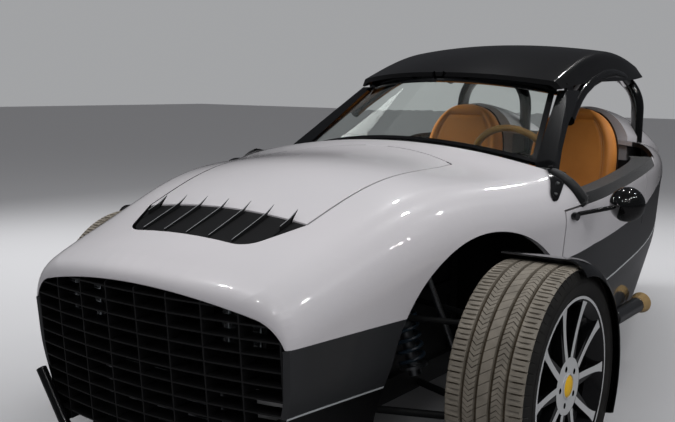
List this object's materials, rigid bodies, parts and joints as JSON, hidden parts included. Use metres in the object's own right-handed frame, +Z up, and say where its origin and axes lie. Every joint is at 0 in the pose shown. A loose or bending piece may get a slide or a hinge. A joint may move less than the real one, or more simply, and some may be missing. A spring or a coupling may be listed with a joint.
{
  "type": "three wheeled car",
  "caption": "Open two-seat three-wheeled roadster with two steered front wheels, one rear wheel, cycle wings, mesh grille, finned bonnet vent and a hard roof cap.",
  "frame": {"origin": "middle of the whole car's length and width, on the floor under the wheels", "axes": "+X to the driver's left, +Y to the rear, +Z up"},
  "size_m": [1.778, 3.6573, 1.2752],
  "materials": {
    "body_paint": "gloss",
    "lower_paint": "satin",
    "black_gloss": "gloss",
    "black_satin": "satin",
    "lamp_glass": "gloss",
    "red_lens": "gloss",
    "bare_aluminium": "brushed",
    "padded_trim": "matte",
    "frame_steel": "satin",
    "cast_alloy": "matte",
    "wheel_rim_leather": "satin",
    "tan_leather": "satin",
    "tinted_glass": "gloss",
    "exhaust_steel": "polished",
    "wheel_black": "gloss",
    "tyre_rubber": "matte",
    "disc_iron": "brushed"
  },
  "bodies": {
    "root": {"front_cowl": "body_paint", "rear_deck": "body_paint", "side_panels": "lower_paint", "sills": "black_gloss", "grille": "black_satin", "chin_bar": "black_gloss", "headlamps": "lamp_glass", "tail_lamps": "red_lens", "radiator": "bare_aluminium", "cockpit_trim": "padded_trim", "chassis_frame": "frame_steel", "engine_block": "cast_alloy", "floor_tub": "black_satin", "firewall": "black_satin", "dashboard": "padded_trim", "steering_column": "black_satin", "pedals": "bare_aluminium", "centre_console": "padded_trim", "seat_left": "tan_leather", "seat_right": "tan_leather", "windscreen_glass": "tinted_glass", "windscreen_frame": "black_gloss", "roof_cap": "black_gloss", "roll_hoops": "black_gloss", "exhausts": "exhaust_steel", "lower_arms": "frame_steel", "upper_arms": "frame_steel", "rockers": "bare_aluminium", "swingarm": "frame_steel", "rear_strut": "bare_aluminium"},
    "wheel_left": {"rim_left": "wheel_black", "tyre_left": "tyre_rubber", "brake_disc_left": "disc_iron"},
    "wheel_right": {"rim_right": "wheel_black", "tyre_right": "tyre_rubber", "brake_disc_right": "disc_iron"},
    "wheel_rear": {"rim_rear": "wheel_black", "tyre_rear": "tyre_rubber"},
    "knuckle_left": {"upright_left": "bare_aluminium", "cycle_wing_left": "black_gloss"},
    "knuckle_right": {"upright_right": "bare_aluminium", "cycle_wing_right": "black_gloss"},
    "steering": {"steering_wheel": "wheel_rim_leather"},
    "left_door": {"door_left": "body_paint", "door_rail_left": "padded_trim", "mirror_left": "black_gloss"},
    "right_door": {"door_right": "body_paint", "door_rail_right": "padded_trim", "mirror_right": "black_gloss"},
    "bonnet": {"bonnet_panel": "body_paint", "bonnet_vent": "black_gloss"}
  },
  "joints": [
    {"name": "steer_left", "type": "hinge", "parent": "root", "child": "knuckle_left", "pos_m": [0.7, -1.085, 0.321], "axis": [0, 0, 1], "range_deg": [-25, 25]},
    {"name": "roll_left", "type": "hinge", "parent": "knuckle_left", "child": "wheel_left", "pos_m": [0.757, -1.085, 0.321], "axis": [1, 0, 0], "continuous": true},
    {"name": "steer_right", "type": "hinge", "parent": "root", "child": "knuckle_right", "pos_m": [-0.7, -1.085, 0.321], "axis": [0, 0, 1], "range_deg": [-25, 25]},
    {"name": "roll_right", "type": "hinge", "parent": "knuckle_right", "child": "wheel_right", "pos_m": [-0.757, -1.085, 0.321], "axis": [1, 0, 0], "continuous": true},
    {"name": "roll_rear", "type": "hinge", "parent": "root", "child": "wheel_rear", "pos_m": [0, 1.465, 0.328], "axis": [1, 0, 0], "continuous": true},
    {"name": "steering_turn", "type": "hinge", "parent": "root", "child": "steering", "pos_m": [0.245, -0.15, 0.8], "axis": [0, 0.9272, 0.3746], "range_deg": [-400, 400]},
    {"name": "door_left_swing", "type": "hinge", "parent": "root", "child": "left_door", "pos_m": [0.688, -0.703, 0.64], "axis": [0, 0, -1], "range_deg": [0, 50]},
    {"name": "door_right_swing", "type": "hinge", "parent": "root", "child": "right_door", "pos_m": [-0.688, -0.703, 0.64], "axis": [0, 0, 1], "range_deg": [0, 50]},
    {"name": "bonnet_lift", "type": "hinge", "parent": "root", "child": "bonnet", "pos_m": [0, -0.722, 0.8976], "axis": [-1, 0, 0], "range_deg": [0, 50]}
  ],
  "couplings": [
    {"joint": "steer_right", "follows": "steer_left", "ratio": 1},
    {"joint": "steering_turn", "follows": "steer_left", "ratio": 16}
  ]
}
